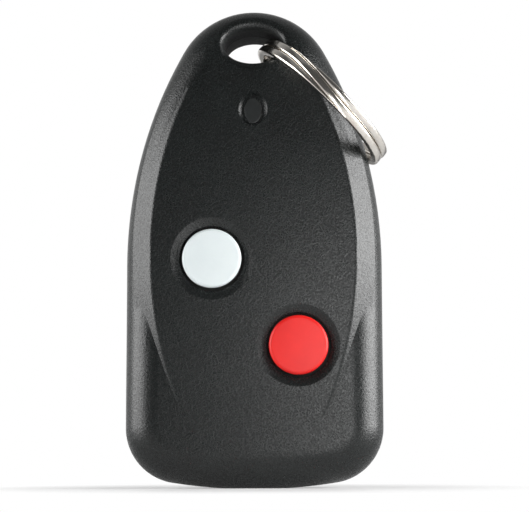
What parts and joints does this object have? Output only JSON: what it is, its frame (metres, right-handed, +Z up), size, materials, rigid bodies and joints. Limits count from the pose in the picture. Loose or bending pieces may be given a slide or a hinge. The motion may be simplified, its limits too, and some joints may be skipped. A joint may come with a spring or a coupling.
{
  "type": "remote transmitter",
  "caption": "Key-fob remote transmitter: tapered two-part casing with a raised panel, round white and red push buttons, a small indicator window and a split ring.",
  "frame": {"origin": "middle of the small flat at the bottom edge that the transmitter stands on", "axes": "+Z up along the casing's length to the ring hole, -Y out of the face with the buttons, +X to its right"},
  "size_m": [0.0377, 0.0241, 0.0689],
  "materials": {
    "casing_plastic": "fine spark-eroded grain",
    "white_plastic": "satin moulded",
    "red_plastic": "satin moulded",
    "smoked_lens": "smoked, polished",
    "ring_steel": "nickel plated, polished",
    "screw_steel": "zinc plated",
    "board_laminate": "solder mask",
    "track_copper": "tinned copper",
    "chip_epoxy": "moulded epoxy",
    "tinned_leads": "tin plated",
    "resonator_can": "nickel plated",
    "resistor_body": "glazed ceramic",
    "capacitor_body": "fired ceramic",
    "led_epoxy": "clear red epoxy",
    "switch_moulding": "moulded",
    "switch_sheet": "tinned sheet",
    "plunger_plastic": "moulded",
    "dome_steel": "spring steel",
    "battery_steel": "nickel plated",
    "battery_wrap": "shrink film",
    "battery_washer": "pressed board",
    "contact_steel": "nickel plated"
  },
  "bodies": {
    "casing": {"front_cover": "casing_plastic", "rear_cover": "casing_plastic", "led_lens": "smoked_lens", "cover_screws": "screw_steel", "circuit_board": "board_laminate", "antenna_trace": "track_copper", "rf_coil": "track_copper", "encoder_chip": "chip_epoxy", "rf_transistor": "chip_epoxy", "encoder_leads": "tinned_leads", "rf_transistor_leads": "tinned_leads", "led_leads": "tinned_leads", "white_switch_terminals": "tinned_leads", "red_switch_terminals": "tinned_leads", "saw_resonator": "resonator_can", "chip_resistors": "resistor_body", "chip_capacitors": "capacitor_body", "indicator_led": "led_epoxy", "white_switch_base": "switch_moulding", "red_switch_base": "switch_moulding", "white_switch_cover": "switch_sheet", "red_switch_cover": "switch_sheet", "white_switch_dome": "dome_steel", "red_switch_dome": "dome_steel", "battery_can": "battery_steel", "battery_cap": "battery_steel", "battery_sleeve": "battery_wrap", "battery_insulator": "battery_washer", "spring_contact": "contact_steel", "plate_contact": "contact_steel"},
    "white_button": {"white_button": "white_plastic"},
    "red_button": {"red_button": "red_plastic"},
    "white_plunger": {"white_switch_plunger": "plunger_plastic"},
    "red_plunger": {"red_switch_plunger": "plunger_plastic"},
    "ring": {"split_ring": "ring_steel"}
  },
  "joints": [
    {"name": "white_button_press", "type": "slide", "parent": "casing", "child": "white_button", "axis": [0, 1, 0], "range_m": [0, 0.00025], "stiffness_N_per_m": 1500},
    {"name": "red_button_press", "type": "slide", "parent": "casing", "child": "red_button", "axis": [0, 1, 0], "range_m": [0, 0.00025], "stiffness_N_per_m": 1500},
    {"name": "white_plunger_press", "type": "slide", "parent": "casing", "child": "white_plunger", "axis": [0, 1, 0], "range_m": [0, 0.00025], "deforming": ["white_switch_dome"]},
    {"name": "red_plunger_press", "type": "slide", "parent": "casing", "child": "red_plunger", "axis": [0, 1, 0], "range_m": [0, 0.00025], "deforming": ["red_switch_dome"]},
    {"name": "ring_swing", "type": "hinge", "parent": "casing", "child": "ring", "pos_m": [0.00175, 0, 0.06293], "axis": [0, -1, 0], "range_deg": [0, 190]}
  ],
  "couplings": [
    {"joint": "white_plunger_press", "follows": "white_button_press", "ratio": 1},
    {"joint": "red_plunger_press", "follows": "red_button_press", "ratio": 1}
  ]
}
